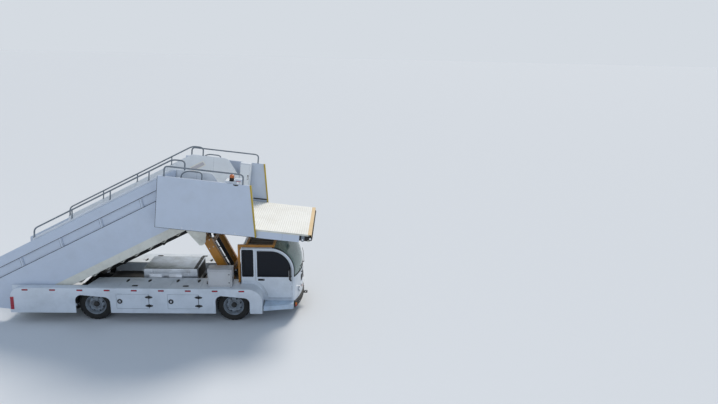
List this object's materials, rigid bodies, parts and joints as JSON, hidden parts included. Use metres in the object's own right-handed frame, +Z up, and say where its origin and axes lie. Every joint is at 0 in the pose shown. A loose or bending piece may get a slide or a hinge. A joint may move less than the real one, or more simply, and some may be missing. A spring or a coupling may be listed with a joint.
{
  "type": "mobile aircraft stairs",
  "caption": "Self-propelled passenger boarding stairs: cab truck with a telescoping stair flight, landing with sliding guard boards, and a lifting mast",
  "frame": {"origin": "centre of the bounding box in X and Y, at ground level under the tyres", "axes": "X forward towards the cab, Y to the vehicle's left, Z up"},
  "size_m": [7.5354, 2.443, 3.8633],
  "materials": {
    "white_paint": "gloss",
    "cream_paint": "satin",
    "dark_paint": "satin",
    "ochre_paint": "satin",
    "tyre_rubber": "matte",
    "rim_paint": "satin",
    "tinted_glass": "gloss",
    "cab_plastic": "matte",
    "aluminium_plate": "satin",
    "rod_chrome": "polished",
    "black_plastic": "matte",
    "tube_paint": "satin",
    "step_paint": "satin",
    "lamp_lens": "gloss",
    "amber_plastic": "gloss"
  },
  "bodies": {
    "chassis": {"frame": "dark_paint", "rear_axle": "dark_paint", "front_axle": "dark_paint", "leaf_springs": "dark_paint", "engine": "dark_paint", "engine_cover": "aluminium_plate", "side_body_right": "white_paint", "side_body_left": "white_paint", "control_box": "white_paint", "cab_shell": "white_paint", "cab_glass": "tinted_glass", "cab_interior": "cab_plastic", "roof_guard": "ochre_paint", "cab_steps": "step_paint", "front_bumper": "dark_paint", "lamps": "lamp_lens"},
    "wheel_rear_right": {"tyre_rear_right": "tyre_rubber", "rim_rear_right": "rim_paint"},
    "wheel_front_right": {"tyre_front_right": "tyre_rubber", "rim_front_right": "rim_paint"},
    "hub_right": {"knuckle_right": "dark_paint"},
    "door_right": {"cab_door_right": "white_paint", "door_glass_right": "tinted_glass", "mirror_right": "black_plastic"},
    "hatch_right_1": {"skirt_door_right_1": "white_paint"},
    "lid_right_1": {"deck_lid_right_1": "white_paint"},
    "hatch_right_2": {"skirt_door_right_2": "white_paint"},
    "lid_right_2": {"deck_lid_right_2": "white_paint"},
    "guard_board_right": {"guard_right": "white_paint"},
    "wheel_rear_left": {"tyre_rear_left": "tyre_rubber", "rim_rear_left": "rim_paint"},
    "wheel_front_left": {"tyre_front_left": "tyre_rubber", "rim_front_left": "rim_paint"},
    "hub_left": {"knuckle_left": "dark_paint"},
    "door_left": {"cab_door_left": "white_paint", "door_glass_left": "tinted_glass", "mirror_left": "black_plastic"},
    "hatch_left_1": {"skirt_door_left_1": "white_paint"},
    "lid_left_1": {"deck_lid_left_1": "white_paint"},
    "hatch_left_2": {"skirt_door_left_2": "white_paint"},
    "lid_left_2": {"deck_lid_left_2": "white_paint"},
    "guard_board_left": {"guard_left": "white_paint"},
    "legs_rear": {"stabilizers_rear": "dark_paint"},
    "legs_front": {"stabilizers_front": "dark_paint"},
    "lower_flight": {"lower_boards": "white_paint", "lower_steps": "cream_paint", "lower_stringers": "cream_paint", "ram_barrel": "dark_paint"},
    "upper_flight": {"upper_boards": "white_paint", "upper_steps": "cream_paint", "handrails": "tube_paint", "landing": "cream_paint", "landing_cabinets": "white_paint", "ram_rod": "rod_chrome", "beacon": "amber_plastic"},
    "mast_lower": {"mast_outer": "ochre_paint", "lift_barrels": "dark_paint"},
    "mast_upper": {"mast_inner": "ochre_paint", "lift_rods": "rod_chrome"}
  },
  "joints": [
    {"name": "stair_lift", "type": "hinge", "parent": "chassis", "child": "lower_flight", "pos_m": [-2.84253, 0, 0.5], "axis": [0, -1, 0], "range_deg": [0, 5.65]},
    {"name": "stair_extend", "type": "slide", "parent": "lower_flight", "child": "upper_flight", "axis": [0.8896, 0, 0.4568], "range_m": [0, 2.4]},
    {"name": "guard_slide_right", "type": "slide", "parent": "upper_flight", "child": "guard_board_right", "axis": [0.9951, 0, -0.0985], "range_m": [0, 1.15]},
    {"name": "guard_slide_left", "type": "slide", "parent": "upper_flight", "child": "guard_board_left", "axis": [0.9951, 0, -0.0985], "range_m": [0, 1.15]},
    {"name": "mast_swing", "type": "hinge", "parent": "chassis", "child": "mast_lower", "pos_m": [1.80747, 0, 0.72], "axis": [0, -1, 0], "range_deg": [-0.933, 0]},
    {"name": "mast_slide", "type": "slide", "parent": "mast_lower", "child": "mast_upper", "axis": [-0.4527, 0, 0.8917], "range_m": [0, 0.4217]},
    {"name": "wheel_spin_rear_right", "type": "hinge", "parent": "chassis", "child": "wheel_rear_right", "pos_m": [-1.29253, -0.91, 0.385], "axis": [0, 1, 0], "continuous": true},
    {"name": "wheel_spin_rear_left", "type": "hinge", "parent": "chassis", "child": "wheel_rear_left", "pos_m": [-1.29253, 0.91, 0.385], "axis": [0, 1, 0], "continuous": true},
    {"name": "steer_right", "type": "hinge", "parent": "chassis", "child": "hub_right", "pos_m": [1.90747, -0.78, 0.385], "axis": [0, 0, 1], "range_deg": [-22, 22]},
    {"name": "wheel_spin_front_right", "type": "hinge", "parent": "hub_right", "child": "wheel_front_right", "pos_m": [1.90747, -0.91, 0.385], "axis": [0, 1, 0], "continuous": true},
    {"name": "steer_left", "type": "hinge", "parent": "chassis", "child": "hub_left", "pos_m": [1.90747, 0.78, 0.385], "axis": [0, 0, 1], "range_deg": [-22, 22]},
    {"name": "wheel_spin_front_left", "type": "hinge", "parent": "hub_left", "child": "wheel_front_left", "pos_m": [1.90747, 0.91, 0.385], "axis": [0, 1, 0], "continuous": true},
    {"name": "cab_door_swing_right", "type": "hinge", "parent": "chassis", "child": "door_right", "pos_m": [3.26047, -0.808, 1.1], "axis": [0, 0, 1], "range_deg": [0, 70]},
    {"name": "hatch_swing_right_1", "type": "hinge", "parent": "chassis", "child": "hatch_right_1", "pos_m": [-0.01153, -1.158, 0.5445], "axis": [0, 0, 1], "range_deg": [0, 90]},
    {"name": "hatch_swing_right_2", "type": "hinge", "parent": "chassis", "child": "hatch_right_2", "pos_m": [1.12647, -1.158, 0.5445], "axis": [0, 0, 1], "range_deg": [0, 90]},
    {"name": "lid_swing_right_1", "type": "hinge", "parent": "chassis", "child": "lid_right_1", "pos_m": [-0.36753, -0.683, 0.873], "axis": [-1, 0, 0], "range_deg": [0, 95]},
    {"name": "lid_swing_right_2", "type": "hinge", "parent": "chassis", "child": "lid_right_2", "pos_m": [0.79747, -0.683, 0.873], "axis": [-1, 0, 0], "range_deg": [0, 95]},
    {"name": "cab_door_swing_left", "type": "hinge", "parent": "chassis", "child": "door_left", "pos_m": [3.26047, 0.808, 1.1], "axis": [0, 0, -1], "range_deg": [0, 70]},
    {"name": "hatch_swing_left_1", "type": "hinge", "parent": "chassis", "child": "hatch_left_1", "pos_m": [-0.01153, 1.158, 0.5445], "axis": [0, 0, -1], "range_deg": [0, 90]},
    {"name": "hatch_swing_left_2", "type": "hinge", "parent": "chassis", "child": "hatch_left_2", "pos_m": [1.12647, 1.158, 0.5445], "axis": [0, 0, -1], "range_deg": [0, 90]},
    {"name": "lid_swing_left_1", "type": "hinge", "parent": "chassis", "child": "lid_left_1", "pos_m": [-0.36753, 0.683, 0.873], "axis": [1, 0, 0], "range_deg": [0, 95]},
    {"name": "lid_swing_left_2", "type": "hinge", "parent": "chassis", "child": "lid_left_2", "pos_m": [0.79747, 0.683, 0.873], "axis": [1, 0, 0], "range_deg": [0, 95]},
    {"name": "legs_down_rear", "type": "slide", "parent": "chassis", "child": "legs_rear", "axis": [0, 0, -1], "range_m": [0, 0.18]},
    {"name": "legs_down_front", "type": "slide", "parent": "chassis", "child": "legs_front", "axis": [0, 0, -1], "range_m": [0, 0.18]}
  ],
  "couplings": [
    {"joint": "mast_swing", "follows": "stair_lift", "ratio": -0.16157},
    {"joint": "mast_slide", "follows": "stair_lift", "m_per_rad": 4.2662},
    {"joint": "steer_left", "follows": "steer_right", "ratio": 1}
  ]
}
